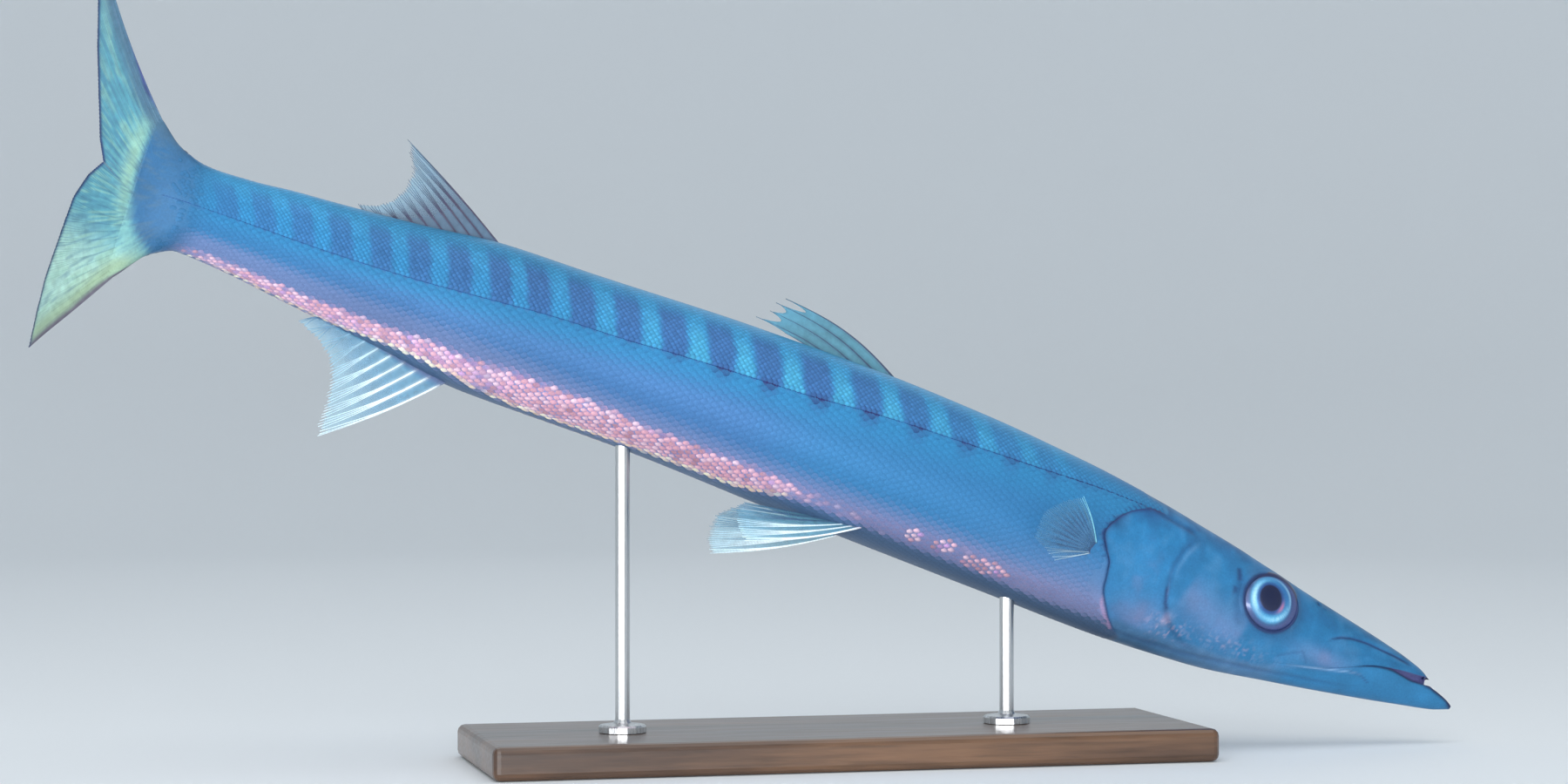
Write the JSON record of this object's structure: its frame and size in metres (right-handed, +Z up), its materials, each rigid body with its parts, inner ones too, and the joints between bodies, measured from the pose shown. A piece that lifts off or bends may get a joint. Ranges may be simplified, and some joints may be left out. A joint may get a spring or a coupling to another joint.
{
  "type": "barracuda",
  "caption": "Life-size barracuda gliding nose down with its tail swung to the right, banked on steel rods over a wooden display base.",
  "frame": {"origin": "middle of the underside of the display base", "axes": "+Z up out of the base, +X along the fish towards its snout, +Y to the fish's left"},
  "size_m": [0.8011, 0.1882, 0.4347],
  "materials": {
    "head_skin": "smooth blue-grey skin",
    "jaw_skin": "smooth blue-grey skin",
    "flank_skin": "silvery scales",
    "eye": "glossy",
    "dorsal_fin": "thin dark membrane",
    "paired_fin": "thin clear membrane",
    "tail_fin": "satin membrane",
    "stand_wood": "satin varnish",
    "stand_steel": "brushed"
  },
  "bodies": {
    "root": {"head": "head_skin", "lower_jaw": "jaw_skin", "gill_cover_left": "head_skin", "gill_cover_right": "head_skin", "eye_left": "eye", "eye_right": "eye", "trunk_front": "flank_skin", "trunk_middle": "flank_skin", "trunk_rear": "flank_skin", "tail_stem": "flank_skin", "dorsal_fin_front": "dorsal_fin", "dorsal_fin_rear": "dorsal_fin", "anal_fin": "paired_fin", "caudal_fin_upper": "tail_fin", "caudal_fin_lower": "tail_fin", "pelvic_fin_left": "paired_fin", "pelvic_fin_right": "paired_fin", "pectoral_fin_left": "paired_fin", "pectoral_fin_right": "paired_fin", "stand_base": "stand_wood", "stand_rod_front": "stand_steel", "stand_rod_rear": "stand_steel"}
  },
  "joints": []
}
